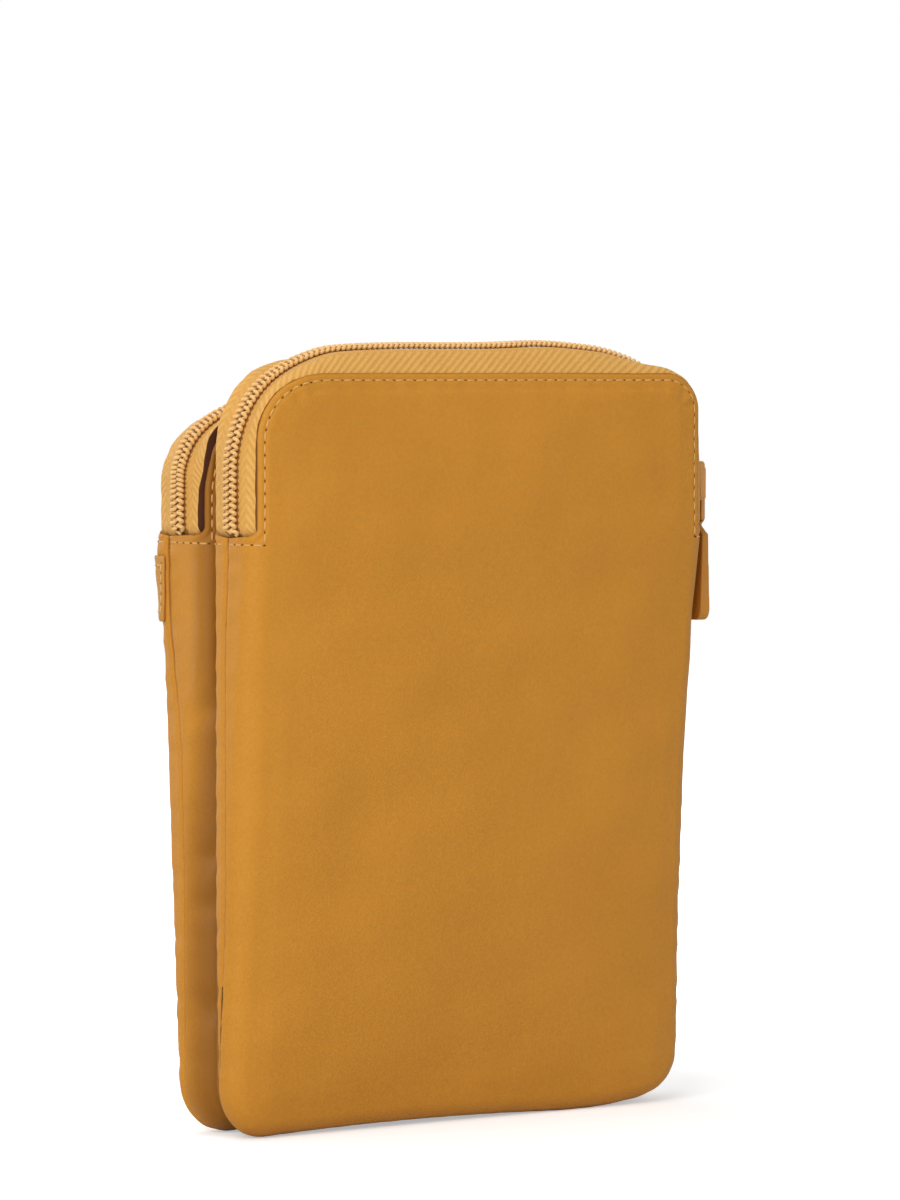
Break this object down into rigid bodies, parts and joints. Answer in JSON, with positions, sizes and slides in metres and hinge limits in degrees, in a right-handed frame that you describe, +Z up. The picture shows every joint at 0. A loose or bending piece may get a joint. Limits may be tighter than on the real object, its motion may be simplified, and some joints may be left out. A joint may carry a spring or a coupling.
{
  "type": "neck pouch wallet",
  "caption": "Two flat zipped fabric pouches sewn back to back, each with a curved zip round its top, and loops for a strap.",
  "frame": {"origin": "middle of the base, between the two pouches, on the plane it stands on", "axes": "+Z up, the front pouch faces -Y, +X towards the zip sliders"},
  "size_m": [0.14, 0.0497, 0.185],
  "materials": {
    "nylon": "fine twill nylon with a slight sheen",
    "lining": "thin plain-weave lining",
    "zip_tape": "woven herringbone tape",
    "zip_coil": "nylon coil, satin",
    "slider_metal": "painted to match the fabric, semi-gloss",
    "puller": "soft moulded tongue, matt",
    "webbing": "flat woven band"
  },
  "bodies": {
    "pouches": {"front_outer_panel": "nylon", "front_inner_panel": "nylon", "front_lining": "lining", "front_inner_tape": "zip_tape", "front_inner_coil": "zip_coil", "rear_outer_panel": "nylon", "rear_inner_panel": "nylon", "rear_lining": "lining", "rear_inner_tape": "zip_tape", "rear_inner_coil": "zip_coil", "joining_strip": "nylon", "left_strap_loop": "webbing", "right_strap_loop": "webbing"},
    "front_flap": {"front_flap_panel": "nylon", "front_flap_lining": "lining", "front_outer_tape": "zip_tape", "front_outer_coil": "zip_coil"},
    "front_slider": {"front_slider_body": "slider_metal", "front_slider_crown": "slider_metal"},
    "front_tab": {"front_pull_tab": "slider_metal"},
    "front_puller": {"front_puller": "puller"},
    "rear_flap": {"rear_flap_panel": "nylon", "rear_flap_lining": "lining", "rear_outer_tape": "zip_tape", "rear_outer_coil": "zip_coil"},
    "rear_slider": {"rear_slider_body": "slider_metal", "rear_slider_crown": "slider_metal"},
    "rear_tab": {"rear_pull_tab": "slider_metal"},
    "rear_puller": {"rear_puller": "puller"}
  },
  "joints": [
    {"name": "front_flap_fold", "type": "hinge", "parent": "pouches", "child": "front_flap", "pos_m": [0, -0.02175, 0.141], "axis": [1, 0, 0], "range_deg": [0, 90], "deforming": ["front_outer_tape", "front_outer_coil"]},
    {"name": "front_slider_travel", "type": "hinge", "parent": "pouches", "child": "front_slider", "pos_m": [0.0354, -0.011, 0.1525], "axis": [0, -1, 0], "range_deg": [0, 90], "deforming": ["front_inner_coil"]},
    {"name": "front_tab_swing", "type": "hinge", "parent": "front_slider", "child": "front_tab", "pos_m": [0.07015, -0.011, 0.1508], "axis": [0, -1, 0], "range_deg": [0, 110]},
    {"name": "front_puller_swing", "type": "hinge", "parent": "front_tab", "child": "front_puller", "pos_m": [0.07015, -0.011, 0.1434], "axis": [0, -1, 0], "range_deg": [0, 60]},
    {"name": "rear_flap_fold", "type": "hinge", "parent": "pouches", "child": "rear_flap", "pos_m": [0, 0.02175, 0.141], "axis": [-1, 0, 0], "range_deg": [0, 90], "deforming": ["rear_outer_tape", "rear_outer_coil"]},
    {"name": "rear_slider_travel", "type": "hinge", "parent": "pouches", "child": "rear_slider", "pos_m": [0.0419, 0.011, 0.151], "axis": [0, -1, 0], "range_deg": [0, 90], "deforming": ["rear_inner_coil"]},
    {"name": "rear_tab_swing", "type": "hinge", "parent": "rear_slider", "child": "rear_tab", "pos_m": [0.07015, 0.011, 0.1493], "axis": [0, -1, 0], "range_deg": [0, 110]},
    {"name": "rear_puller_swing", "type": "hinge", "parent": "rear_tab", "child": "rear_puller", "pos_m": [0.07015, 0.011, 0.1419], "axis": [0, -1, 0], "range_deg": [0, 60]}
  ]
}
